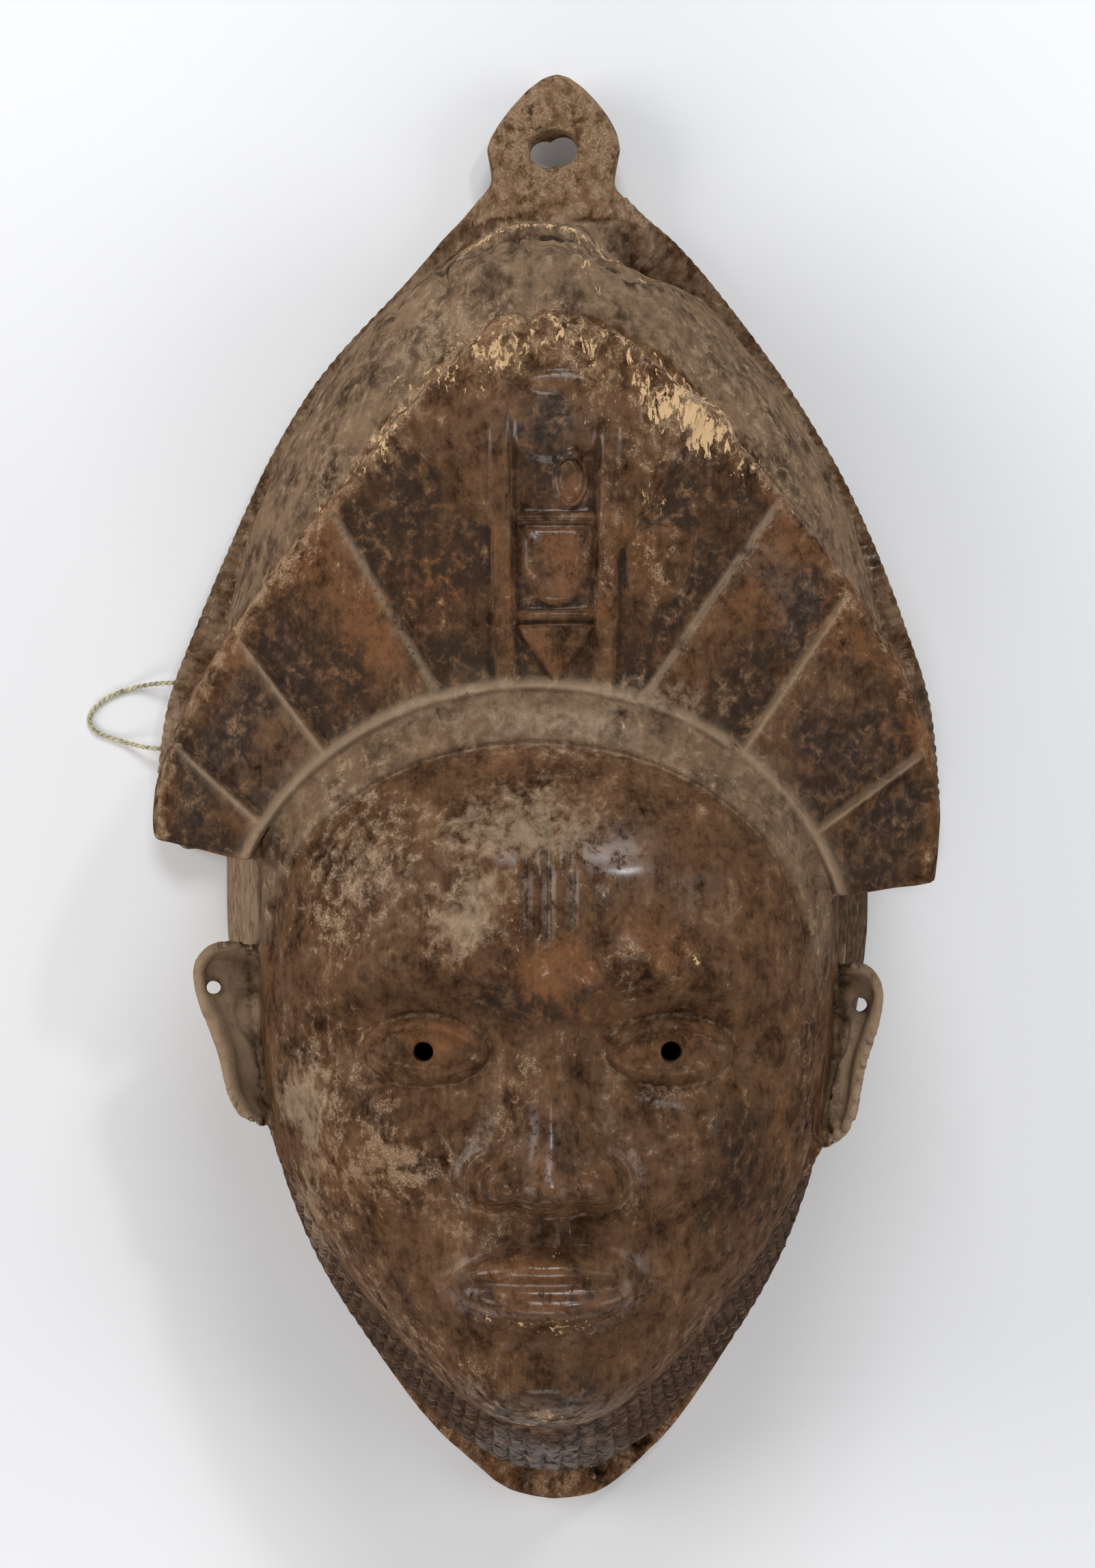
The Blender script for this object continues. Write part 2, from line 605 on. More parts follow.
# The carving of the head and of the fan, cut straight into the blank.
eye_hole = np.hypot(np.abs(x) - EYE_X, y - EYE_Y)
on_head *= ease(2.7, 3.4, eye_hole)
z_head = head_height(x, y)
band = np.hypot((x + 3) / 68, (y + 45) / 55)
band_out = (band - 1) * 60
on_band = ease(-1.2, 0.8, band_out) * ease(-52, -30, y)
z_head = z_head + on_band * (1.1 * ease(-0.5, 2.5, band_out) + 0.5 * bell(out + 5, 4))
z_head -= 1.3 * bell(band_out + 0.2, 0.9) * ease(-58, -40, y)
forehead_strokes = np.zeros(len(places))
for stroke_x, low, high in ((-5.2, -36, -12), (0.4, -39, -9), (6.0, -36, -12)):
    forehead_strokes += bell(x - stroke_x, 1.2) * ease(low - 1, low + 2, y) * ease(high + 1, high - 2, y)
z_head -= 1.3 * forehead_strokes
z_head += 0.8 * ease(-8, -0.3, out) ** 2 * ease(-45, -25, y) * (fan_top - z_head)
carved = places.copy()
carved[:, 2] += on_head * np.clip(z_head - z, -7, 7)
fan_relief_kept = fan_relief(x, y)
z_fan = fan_top + fan_relief_kept
carved[:, 2] += on_fan * np.clip(z_fan - z, -6, 6)
places = carved
put_places(mask.data, places)
facing = facing_of(mask.data)
x, y, z = places.T


# The collar and the flange.
# Both are cut in ribs that run out to the edge. The collar's are flat between thin cuts, hanging straight at
# the chin and leaning out at the sides. The flange's are finer and square to its edge.
COLLAR_MIDDLE_X = 1.5
COLLAR_TOP_Y = -84
BELOW_CHIN_Y = -167
COLLAR_LEAN = 0.36
COLLAR_PITCH = 4.8
COLLAR_SIDE_PITCH = 3.3
COLLAR_CUT_DEPTH = 1.2
CUT_HALF_WIDTH = 0.6
COLLAR_PLANING_ROUNDS = 140
FLANGE_LOW_Y = -18
FLANGE_HIGH_Y = 163
FLANGE_WIDTH = station_curve([
    (-18, 98), (-14, 103.5), (-8, 106.5), (17, 104.6), (46, 96), (79, 82.3), (103, 68.5), (127, 51.4),
    (146.5, 35), (153.5, 27), (163, 17),
])
FLANGE_PITCH = 3.0
FLANGE_CUT_DEPTH = 0.6
FLANGE_TOP_Z = 9.9


def nearest_along(points, outline):
    """For each place, the outline's nearest point: how far along it is, how far away, and where."""
    lengths = np.r_[0, np.cumsum(np.hypot(*np.diff(outline, axis=0).T))]
    best = np.empty(len(points), dtype=np.int64)
    block = 20000
    for start in range(0, len(points), block):
        part = points[start:start + block]
        gaps = np.hypot(part[:, None, 0] - outline[None, :, 0], part[:, None, 1] - outline[None, :, 1])
        best[start:start + block] = gaps.argmin(axis=1)
    nearest = outline[best]
    return lengths[best], np.hypot(*(points - nearest).T), nearest


def side_outline(half_width, low, high, count):
    """Places along one side of an outline, from its low end to its high end."""
    rows = np.linspace(low, high, count)
    return np.column_stack([half_width(rows), rows])


def cuts_between_ribs(phase, pitch, width):
    """From 0 on a rib to 1 in the thin cut beside it."""
    return bell(np.abs((phase + 0.5) % 1 - 0.5) * pitch, width)


side = np.abs(x - COLLAR_MIDDLE_X)
below_chin = y < BELOW_CHIN_Y
on_collar = (y < COLLAR_TOP_Y) & (z > 12) & (z < 84) & (facing[:, 2] > -0.2)
on_collar &= (across_head > 0.93) | below_chin
lean = COLLAR_LEAN * ease(4, 40, side)
collar_line = side + lean * (y + 175)
reach_step = 0.1
reach = np.linspace(-40, 140, 1801)
collar_pitch = COLLAR_PITCH - (COLLAR_PITCH - COLLAR_SIDE_PITCH) * ease(15, 50, reach)
ribs_so_far = np.cumsum(1 / collar_pitch) * reach_step
collar_phase = np.interp(collar_line, reach, ribs_so_far)
# Half a rib more puts a cut on each side of a middle rib.
collar_phase += 0.5 - np.interp(0, reach, ribs_so_far)
wobble = 0.12 * lattice_noise(places, 9, 11)
collar_share = ease(COLLAR_TOP_Y, COLLAR_TOP_Y - 6, y) * ease(12, 20, z) * ease(82, 72, z)
collar_share = collar_share * ease(-0.05, 0.15, facing[:, 2]) * on_collar
pitch_here = np.interp(collar_line, reach, collar_pitch)
collar_cuts = cuts_between_ribs(collar_phase + wobble, pitch_here, CUT_HALF_WIDTH) * collar_share
# The blank's coarse ribs are planed off before the real ones are cut.
planed = ease(COLLAR_TOP_Y, COLLAR_TOP_Y - 8, y) * ease(10, 16, z) * ease(84, 76, z)
planed *= ease(0, 0.4, facing[:, 2])
planed *= (across_head > 0.9) | below_chin
places += (near.eased(places, COLLAR_PLANING_ROUNDS) - places) * planed[:, None]

on_flange = (y > -19) & (z < 18) & (z > 1) & (np.abs(x) > 14) & (y < 158) & (facing[:, 2] > -0.3)
flange_line = side_outline(FLANGE_WIDTH, FLANGE_LOW_Y, FLANGE_HIGH_Y, 1200)
drawn_in = np.where(x < 0, 6 * bell(y - 140, 22) + 2.7 * bell(y - 68, 42), 0)
flange_along = np.zeros(len(places))
flange_away = np.full(len(places), 99.0)
flange_places = np.column_stack([np.abs(x) + drawn_in, y])[on_flange]
flange_along[on_flange], flange_away[on_flange], nearest = nearest_along(flange_places, flange_line)
# The blank's coarse notches are planed off first: the flange's top is made flat and its edge smooth.
top_side = on_flange & (facing[:, 2] > 0.6) & (z < 10.8) & (z > 8)
places[top_side, 2] = FLANGE_TOP_Z
to_edge = np.zeros((len(places), 2))
to_edge[on_flange] = (nearest - flange_places) * ease(2.2, 1.2, flange_away[on_flange])[:, None]
places[:, 0] += np.sign(x) * to_edge[:, 0]
places[:, 1] += to_edge[:, 1]
flange_share = ease(30, 20, flange_away) * ease(2.5, 6, z) * ease(0.2, 1.5, flange_away) * on_flange
flange_share *= 1 - 0.7 * ease(-12, -20, x) * ease(122, 134, y)
flange_phase = flange_along / FLANGE_PITCH + wobble
flange_cuts = cuts_between_ribs(flange_phase, FLANGE_PITCH, CUT_HALF_WIDTH) * flange_share
move = -COLLAR_CUT_DEPTH * collar_cuts - FLANGE_CUT_DEPTH * flange_cuts


# The ears.
# Each ear is an open cup with a rolled rim. Inside it are a round lump, a long ridge that runs down to the
# lobe, and a deep groove against the head.
EAR_OUTLINE = np.array([
    (70.5, -45), (73.6, -42), (77.5, -40.3), (82, -39.9), (85.5, -40.6), (88.5, -42.8), (90.7, -46.8),
    (90.6, -50.7), (88.6, -57.6), (86, -63.8), (84, -70), (82.6, -76.3), (80.8, -81.7), (77.6, -85.4),
    (73, -87.6), (68.5, -88),
])
LEFT_EAR_FLARE = 1.0
RIGHT_EAR_FLARE = 0.76
RIGHT_EAR_DROP = 5.5
EAR_ROOT_X = 70
EAR_RIDGE = np.array([(82.5, -56), (80.6, -62), (77.2, -70), (72.5, -79), (68.5, -84)])
EAR_GROOVE = np.array([(72.5, -51), (69.8, -60), (69.5, -67), (68, -77), (66.5, -83)])
EAR_POINTS_PER_SPAN = 12

flare = np.where(x < 0, LEFT_EAR_FLARE, RIGHT_EAR_FLARE)
ear_x = EAR_ROOT_X + (np.abs(x) - EAR_ROOT_X) / flare
ear_y = y + np.where(x < 0, 0, RIGHT_EAR_DROP)
on_ear = (np.abs(x) > 67) & (ear_y > -91) & (ear_y < -36) & (z > 46) & (z < 88) & (across_head > 0.9)
ear_front = on_ear & (facing[:, 2] > 0.1)


def rounded_line(stops, per_span):
    """A smooth line through a few stops, as seen from the front."""
    return smooth_route([(across, up, 0) for across, up in stops], per_span)[:, :2]


ear_places = np.column_stack([ear_x, ear_y])[on_ear]
ear_relief = np.zeros(len(ear_places))
_, from_rim, _ = nearest_along(ear_places, rounded_line(EAR_OUTLINE, EAR_POINTS_PER_SPAN))
_, from_ridge, _ = nearest_along(ear_places, rounded_line(EAR_RIDGE, EAR_POINTS_PER_SPAN))
_, from_groove, _ = nearest_along(ear_places, rounded_line(EAR_GROOVE, EAR_POINTS_PER_SPAN))
from_lump = np.hypot((ear_places[:, 0] - 74.2) / 4.6, (ear_places[:, 1] + 59) / 5.6)
ear_relief += 1.2 * bell(from_rim - 1.6, 1.6) - 1.1 * bell(from_rim - 4.6, 1.2)
ear_relief += 1.8 * bell(from_ridge, 3.2) + 1.6 * clamp01(1.15 - from_lump) ** 0.5
ear_relief -= 1.0 * bell(from_lump - 1.2, 0.2) + 2.2 * bell(from_groove, 1.8)
ear_hollow = np.zeros(len(places))
ear_hollow[on_ear] = np.maximum(bell(from_groove, 2.2), bell(from_rim - 4.6, 1.4))
ear_move = np.zeros(len(places))
ear_move[on_ear] = ear_relief
move += ear_move * ear_front * ease(0.1, 0.5, facing[:, 2])


# The dome behind the fan and its worn end.
# Its surface is hewn in shallow knife flats. At the lug end the surface breaks off in two steps, whose edges
# are knocked and worn, with slits and holes of rot between them.
BROKEN_EDGE = np.array([
    (-40, 128), (-31, 134), (-22, 137.5), (-13, 138), (-5, 141.3), (3, 142), (9.5, 140.3), (13.5, 134.5),
    (19, 129),
])
BROKEN_STEP = 1.5
DOME_LIP = np.array([
    (-27, 138), (-19.9, 143.4), (-11.5, 147.4), (-6.1, 148), (3, 147.4), (11.5, 144.7), (15.3, 140.1),
    (21.4, 132.5),
])
EDGE_POINTS_PER_SPAN = 10
on_dome = ease(-5, 25, y) * (1 - on_fan) * ease(11, 16, z) * ease(-0.4, 0, facing[:, 2])
on_dome *= across_head + (y > HEAD_TOP_Y) > 1
on_dome *= 1 - ease(151.5, 153, y)
edge_x, edge_y = rounded_line(BROKEN_EDGE, EDGE_POINTS_PER_SPAN).T
broken_at = np.interp(x, edge_x, edge_y) + 0.9 * lattice_noise(places, 4, 12)
broken_at = broken_at + 0.5 * lattice_noise(places, 1.6, 13)
past_edge = ease(-0.5, 0.7, y - broken_at) * (np.abs(x + 10) < 30) * on_dome
move -= BROKEN_STEP * past_edge * ease(-40, -33, x) * ease(19, 15, x)
lip_x, lip_y = rounded_line(DOME_LIP, EDGE_POINTS_PER_SPAN).T
lip_ends = ease(-27, -22, x) * ease(21, 17, x)
to_lip = y - np.interp(x, lip_x, lip_y) + 0.5 * lattice_noise(places, 3, 17)
on_lip = bell(to_lip + 1.2, 1.5) * lip_ends * on_dome
edge_ends = ease(-38, -30, x) * ease(18, 14, x)
under_edge = (bell(to_lip + 4.0, 0.9) + bell(y - broken_at - 0.9, 0.9) * edge_ends) * on_dome
move += 0.9 * on_lip - 0.9 * clamp01(under_edge * lip_ends)
move += 0.7 * bell(y - broken_at + 1.4, 1.1) * on_dome * edge_ends * lattice_noise(places, 5, 14)
broad_flats = 0.5 * lattice_noise(places, 13, 5, (1, 1.6, 1))
move += on_dome * (broad_flats + 0.28 * lattice_noise(places, 6, 6, (1, 2.5, 1)))

# The fan's worn outline: knobs and two nicks along its top, each as x, half width and rise, and a waved edge.
TOP_KNOBS = [(-10, 3.8, 1.5), (1.3, 3.6, 1.7), (8.2, 2.6, 1.3), (-4.6, 0.9, -1.6), (5.3, 0.7, -0.9)]
fan_outline = (z > 60) & (edge < 6) & (out > 2) & (y > -25)
top_share = ease(62, 72, angle) * ease(118, 106, angle)
knobs = 1.5 * lattice_noise(places, 5.5, 15, (1, 1.4, 3)) * top_share
knobs += 0.5 * lattice_noise(places, 9, 16, (1, 1, 3))
for knob_x, half_width, rise in TOP_KNOBS:
    knobs += rise * bell(x - knob_x, half_width) * (y > 100)
move += knobs * fan_outline * ease(6, 1.5, edge)

# The almond at the strip's top end is rubbed nearly flat by hands.
ALMOND_RUBBING_ROUNDS = 30
rubbed_flat = bell(x - 2.6, 14) * ease(89, 92.5, y) * ease(108, 104.5, y) * (z > 60)
rubbed_flat = rubbed_flat * ease(-0.2, 0.3, facing[:, 2])
places += (near.eased(places, ALMOND_RUBBING_ROUNDS) - places) * rubbed_flat[:, None]

# Shallow knife flats all over, softer on the face, and none inside the hollow.
inside = ease(0.2, 0, facing[:, 2]) * ease(-181, -176, y) * ease(112, 106, y) * ease(76, 70, np.abs(x))
flats = 0.2 * lattice_noise(places, 11, 3, (1, 1.7, 1)) + 0.12 * lattice_noise(places, 4.5, 4, (1, 2.2, 1))
low_part = np.maximum(collar_share, on_flange)
move += flats * (1 - 0.5 * on_head) * (1 - inside) * (1 - 0.8 * low_part)

# Dents, slits of rot, chips and notches, each as x, y, half width, half height and depth.
WEAR_MARKS = [
    (-8.9, 140.6, 1.0, 4.0, 3.6), (-27.5, 131.5, 1.5, 3.6, 3.0), (-15, 137.2, 4.0, 0.8, 1.8),
    (-40.5, 124, 0.8, 3.2, 1.6), (26, 133, 3.6, 1.9, 1.7), (12, 131.5, 0.8, 3.0, 1.2),
    (8.8, 133, 0.7, 2.6, 1.0), (21, 131, 1.0, 2.0, 1.4), (-22, 112, 0.9, 2.2, 1.0),
    (-36, 98, 0.8, 4.5, 1.0), (46, 111, 1.0, 2.2, 1.3), (-58, 112, 2.2, 3.4, 1.6),
    (13.5, -25.5, 1.3, 1.9, 1.4), (42, 88, 5.0, 4.0, 0.8), (-9, 107, 1.4, 4.0, 1.6),
    (14, 106.5, 1.6, 3.0, 1.4), (-22, 104, 2.4, 2.2, 0.8), (-97, -22, 3.0, 5.0, 0.8),
    (13.8, -185.4, 2.3, 1.6, 2.6), (25.4, -177.5, 2.3, 1.7, 2.4), (-55, -60, 0.6, 5.0, 0.7),
    (-60.5, -48, 0.5, 6.0, 0.6), (88.5, -35, 0.8, 5.0, 0.6), (60, -70, 4.5, 0.4, 0.7),
]
from_above = ease(-0.2, 0.1, facing[:, 2]) * ((z > 12) | (y < -170))
for mark_x, mark_y, half_width, half_height, depth in WEAR_MARKS:
    move -= depth * bell(x - mark_x, half_width) * bell(y - mark_y, half_height) * from_above
places = places + move[:, None] * facing
places[:, 2] = np.maximum(places[:, 2], 0)
put_places(mask.data, places)
facing = facing_of(mask.data)


# What the surface tells the finish: where grime settles, where edges are rubbed, and where each tone lies.
# The carving itself gives the hollows and the edges. Hands, smoke, dust and knocks give the rest.


def hollowness(rounds):
    """How far the skin lies under the mean of its surroundings, in millimetres."""
    return ((near.eased(places, rounds) - places) * facing).sum(axis=1)


def spots(marks):
    """Soft patches with wandering borders, each as x, y, half width, half height and strength."""
    total = np.zeros(len(places))
    for mark_x, mark_y, half_width, half_height, strength in marks:
        distance = ((warped_x - mark_x) / half_width) ** 2 + ((warped_y - mark_y) / half_height) ** 2
        total = np.maximum(total, strength * np.exp(-distance))
    return total


def keep_tint(name, *layers):
    """Store the strongest of some layers as one value for each point."""
    values = np.maximum.reduce(layers)
    stored = mask.data.attributes.new(name, "FLOAT", "POINT")
    stored.data.foreach_set("value", clamp01(values).astype(np.float32))


x, y, z = places.T
warped_x = x + 5 * lattice_noise(places, 10, 21) + 2.0 * lattice_noise(places, 3.5, 22)
warped_y = y + 6 * lattice_noise(places, 12, 23) + 2.4 * lattice_noise(places, 3.5, 24)
fine_hollow = near.eased(hollowness(5), 1)
broad_hollow = near.eased(hollowness(40), 2)
fine_groove = ease(0.04, 0.28, fine_hollow)
broad_groove = ease(0.25, 1.6, broad_hollow)
sharp_edge = ease(0.05, 0.3, -fine_hollow)
broad_edge = ease(0.4, 1.8, -broad_hollow)
front = ease(-0.1, 0.3, facing[:, 2])
back = ease(0.1, -0.3, facing[:, 2])

fan_all = ease(-1.5, 0, out) * ease(-1, 0.5, fan_end) * (z > 62) * (edge > -4)
fan_face = fan_all * ease(2, 7, edge) * ease(0.35, 0.7, facing[:, 2])
fan_edge = fan_all * ease(8, 3, edge) * (0.35 + 0.65 * ease(0.05, 0.5, facing[:, 2]))
ear_tone = on_ear * ease(1.0, 1.07, across_head)
pleat_low = fan_face * ease(-0.4, -2.0, fan_relief_kept)
foot_bead = fan_all * bell(out - 1.4, 1.8)
crest = np.zeros(len(places))
shaded_step = np.zeros(len(places))
for ridge in LEFT_RIDGES:
    beside = ridge_lines[ridge]
    crest = np.maximum(crest, bell(beside + 0.2, 0.8))
    shaded_step = np.maximum(shaded_step, ease(-1.2, -2.6, beside) * ease(-8, -5, beside))
for ridge in RIGHT_RIDGES:
    beside = ridge_lines[ridge]
    crest = np.maximum(crest, 0.85 * ease(-0.5, 0.3, beside) * ease(2.6, 1.2, beside))
    shaded_step = np.maximum(shaded_step, ease(4.8, 6.2, beside) * ease(11, 8, beside))
crest *= fan_face * ease(88, 80, y)
shaded_step *= fan_face * ease(90, 80, y)

band_zone = ease(-1, 1, band_out) * ease(0.8, -0.8, out) * ease(-58, -42, y) * front
walls = ease(0.97, 1.02, np.abs(x) / HEAD_HALF_WIDTH(y)) * ease(44, 14, warped_y) * ease(-112, -74, warped_y)
walls *= (1 - ear_tone) * (1 - fan_all)
chin_plate = (z < 16) * ease(-145, -160, y)
on_collar_lip = on_collar * bell(z - 14, 2.2) * ease(-130, -160, y)
dome = on_dome * (1 - fan_all)
flange = (z < 16) * (y > -20) * (y < 158) * (1 - dome)
lug = ease(148, 154, y) * (1 - dome)
collar = on_collar * ease(-80, -104, warped_y) * ease(10, 14, z)

keep_tint(
    "dust", 0.6 * fine_groove * front * (1 - collar) * (1 - fan_face),
    0.45 * broad_groove * front * (1 - fan_face), 0.35 * foot_bead, 0.3 * crest,
    0.45 * band_zone, 0.4 * dome, 0.7 * walls * (x < 0), 1.1 * ear_tone, 0.3 * lug, 0.2 * flange,
    0.4 * fan_edge * (x < 0),
    spots([
        (0, 18, 50, 9, 0.8), (-45, -18, 22, 26, 0.6), (-20, -30, 16, 10, 0.9), (-60, -82, 8, 22, 0.9),
        (0, 8, 34, 8, 0.55), (-35, 22, 12, 8, 0.4), (40, 15, 16, 9, 0.35), (30, 45, 12, 16, 0.35),
        (-59, -106, 8, 34, 0.75), (-6, -10, 26, 12, 0.75), (-24, 118, 22, 14, 0.5), (-50, 100, 16, 16, 0.45),
    ]),
)
keep_tint("polish", spots([
    (20, -21, 14, 10, 1.0), (-20, -20, 12, 8, 0.8), (1, -24, 5, 12, 0.7), (2, 90, 22, 8, 1.0),
    (32, 90, 14, 7, 0.9), (-30, 86, 10, 8, 0.5), (2, 52, 8, 8, 0.9), (5, 70, 8, 8, 0.7),
    (60, 56, 10, 14, 0.4), (0, NOSE_BASE_Y + 10, 9, 12, 0.9), (0, MOUTH_Y, 24, 9, 1.0),
    (-26, -94, 12, 10, 0.6), (26, -90, 10, 10, 0.6), (0, CHIN_Y + 6, 16, 8, 0.5),
    (0, -176, 18, 7, 0.5), (88, 60, 8, 10, 0.5), (26, 142, 6, 6, 0.4),
]))
keep_tint("silt", 0.8 * foot_bead, 0.75 * crest, 0.3 * band_zone)
keep_tint(
    "dark", 0.75 * pleat_low, 0.85 * shaded_step, 0.75 * collar, 0.9 * collar_cuts, 0.5 * flange_cuts,
    0.35 * ear_hollow, 0.85 * forehead_strokes * front, 0.5 * fan_face * ease(16, 3, out),
    0.9 * under_edge, 0.75 * walls * (x > 0),
    spots([
        (-84, 4, 16, 15, 1.0), (-90, -12, 12, 8, 0.9), (-30, 32, 12, 8, 0.8), (-52, 18, 14, 8, 0.7),
        (-34, 70, 12, 16, 1.0), (-12, 33, 4, 12, 0.6), (36, 72, 14, 10, 0.9), (50, 28, 10, 6, 0.5),
        (-69, 24, 11, 9, 0.95), (72, 14, 16, 12, 0.9), (90, -4, 12, 14, 0.9), (2, 86, 15, 9, 1.0),
        (46, 24, 9, 8, 0.6),
        (-8, BROW_Y - 4, 22, 8, 0.9), (-34, BROW_Y - 4, 14, 5, 0.7), (34, BROW_Y - 4, 16, 5, 0.7),
        (40, -40, 12, 7, 0.5), (46, -12, 16, 10, 0.5), (0, -16, 14, 8, 0.4), (48, -96, 15, 26, 0.9),
        (20, MOUTH_Y - 12, 20, 7, 0.6), (-18, MOUTH_Y - 12, 16, 6, 0.5), (0, CHIN_Y + 8, 26, 8, 0.8),
        (-20, EYE_Y - 14, 10, 6, 0.4), (-2, 100, 10, 6, 0.5), (-45, -48, 10, 6, 0.5), (88, 84, 10, 16, 0.6),
        (30, 126, 20, 8, 0.5), (13.8, -185.4, 4, 3, 1.0), (25.4, -177.5, 4, 3, 1.0),
        (44, 118, 20, 14, 0.5), (14, NOSE_BASE_Y + 20, 8, 14, 0.5),
    ]),
)
keep_tint(
    "warm", 0.75 * ear_tone, 0.5 * lug, 0.5 * fan_edge, 0.55 * collar, 0.7 * chin_plate,
    spots([
        (-62, 58, 14, 22, 1.0), (-44, 42, 13, 16, 1.0), (-80, 34, 8, 18, 0.8), (-26, 52, 10, 15, 1.0),
        (-22, 42, 7, 8, 0.9), (4, 54, 7, 9, 1.0), (6, 72, 6, 7, 1.0), (2, 34, 9, 5, 0.8),
        (-10, 46, 2.5, 22, 0.9), (14, 46, 2.5, 22, 0.7), (26, 56, 9, 13, 0.8), (60, 62, 13, 13, 1.0),
        (52, 42, 12, 11, 1.0), (74, 40, 9, 16, 0.9), (90, 12, 9, 16, 0.9), (86, -12, 12, 8, 0.6),
        (0, -46, 16, 12, 1.0), (30, -40, 12, 6, 0.8), (2, -30, 9, 12, 0.6), (-30, EYE_Y + 3, 14, 8, 0.8),
        (32, EYE_Y + 3, 14, 7, 0.8), (-50, -98, 12, 18, 0.7), (58, -90, 6, 22, 0.7),
        (0, MOUTH_Y, 24, 8, 0.9), (0, NOSE_BASE_Y + 6, 14, 7, 0.6), (12, 20, 10, 5, 0.6),
        (-10, 2, 14, 5, 0.6), (30, -8, 10, 6, 0.5), (20, -66, 10, 7, 0.5), (4, 178, 14, 10, 0.6),
    ]),
)
keep_tint(
    "worn", 0.75 * fan_edge * (x < 0), 0.5 * fan_edge * (x >= 0), 0.25 * collar, 0.7 * ear_tone,
    0.9 * on_lip, 0.8 * lug, 0.55 * chin_plate, 1.0 * on_collar_lip,
    0.5 * broad_edge * front * (1 - on_head), 0.7 * past_edge * sharp_edge,
    spots([
        (-8, 106, 36, 12, 0.7), (36, 92, 14, 12, 0.8), (-44, 84, 16, 9, 0.6), (4, 170, 16, 22, 0.5),
        (0, 152, 20, 8, 0.5), (-52, -32, 5, 8, 0.5), (-24, -34, 12, 8, 0.5), (30, -44, 10, 4, 0.5),
        (0, CHIN_Y, 10, 3, 0.6), (-40, -94, 14, 16, 0.8), (-12, 149, 14, 2.5, 0.8), (10, 141, 7, 7, 0.6),
    ]),
)
keep_tint(
    "bare", 0.45 * fan_edge * ease(50, 80, y), 0.6 * on_lip, 0.55 * on_collar_lip,
    spots([
        (41, 90, 8, 7, 0.9), (31, 98, 9, 8, 0.8), (22, 104, 6, 5, 0.6), (49, 79, 4, 5, 0.6),
        (-12, 108, 14, 7, 0.62), (6, 107, 10, 6, 0.55), (-28, 99, 12, 8, 0.56), (-46, 84, 10, 7, 0.55),
        (-60, 69, 6, 9, 0.45),
        (26, 70, 2, 8, 0.45), (16, 96, 8, 8, 0.4), (-10, 149, 10, 2.2, 0.55), (12, 143, 5, 5, 0.5),
        (26, 133, 3.6, 2.4, 1.0), (10, 134, 6, 5, 0.5), (-10, -40, 8, 10, 0.4), (36, -42, 8, 3, 0.5),
        (-52, -32, 4, 7, 0.4), (0, MOUTH_Y - 10, 22, 3, 0.5), (0, MOUTH_Y + 8, 14, 2, 0.35),
        (0, NOSE_BASE_Y + 1, 12, 2, 0.35), (-3, CHIN_Y, 9, 3, 0.5), (10, -184, 4, 3, 0.6),
    ]),
)
keep_tint(
    "grey", 0.75 * dome, 0.8 * walls, 0.5 * flange * (1 - chin_plate), 0.8 * back, 0.3 * band_zone,
    0.25 * ear_tone, 0.35 * lug, 0.3 * collar,
)

# The even skin is thinned to fewer faces, most of all where it is smooth.
mask.data.calc_loop_triangles()
thin = mask.modifiers.new("fewer_faces", "DECIMATE")
thin.ratio = SKIN_TRIANGLES / len(mask.data.loop_triangles)
bpy.context.view_layer.objects.active = mask
bpy.ops.object.modifier_apply(modifier=thin.name)
mask.data.polygons.foreach_set("use_smooth", [True] * len(mask.data.polygons))

# The finish of the wood.
# Dark brown hardwood, oiled, smoked and handled. Layer by layer: mottled umber, brown and tan, reddish where
# it is rubbed, grey where it is dry, then soot, dust, pale flecks, and raw ochre wood on the knocked edges.
wood = bpy.data.materials.new("old_dark_wood")
wood.use_nodes = True
tree = wood.node_tree
wood_shader = tree.nodes["Principled BSDF"]


def in_millimetres(stretch):
    """The object's own coordinates in millimetres, divided by a stretch on each axis."""
    from_object = tree.nodes.new("ShaderNodeTexCoord").outputs["Object"]
    scale = [1 / (MM * part) for part in stretch]
    return add_node(tree, "ShaderNodeMapping", {"Vector": from_object, "Scale": scale}).outputs["Vector"]


def noise(stretch, detail, roughness=0.55, distortion=0.0):
    """Smooth noise whose hills are about as wide as the stretch."""
    inputs = {
        "Vector": in_millimetres(stretch), "Scale": 1.0, "Detail": detail, "Roughness": roughness,
        "Distortion": distortion,
    }
    return add_node(tree, "ShaderNodeTexNoise", inputs).outputs["Fac"]


def maths(operation, first, second):
    return add_node(tree, "ShaderNodeMath", {0: first, 1: second}, operation=operation).outputs[0]


def plus(first, second):
    return maths("ADD", first, second)


def minus(first, second):
    return maths("SUBTRACT", first, second)


def times(first, second):
    return maths("MULTIPLY", first, second)


def window(value, low, high):
    """From 0 at low to 1 at high, with soft ends."""
    inputs = {"Value": value, "From Min": low, "From Max": high}
    return add_node(tree, "ShaderNodeMapRange", inputs, interpolation_type="SMOOTHSTEP").outputs["Result"]


def broken_edge(share, pattern, depth, low, high):
    """A soft patch whose border is broken up by a pattern."""
    shifted = times(minus(pattern, 0.5), depth)
    return window(plus(share, shifted), low, high)


def layered(under, over, share):
    """One colour laid over another, as thick as the share."""
    inputs = {"Factor": share, 6: under, 7: over}
    return add_node(tree, "ShaderNodeMix", inputs, data_type="RGBA").outputs[2]


def tint(name):
    """One of the shares stored on the skin's points."""
    return add_node(tree, "ShaderNodeAttribute", {}, attribute_name=name).outputs["Fac"]


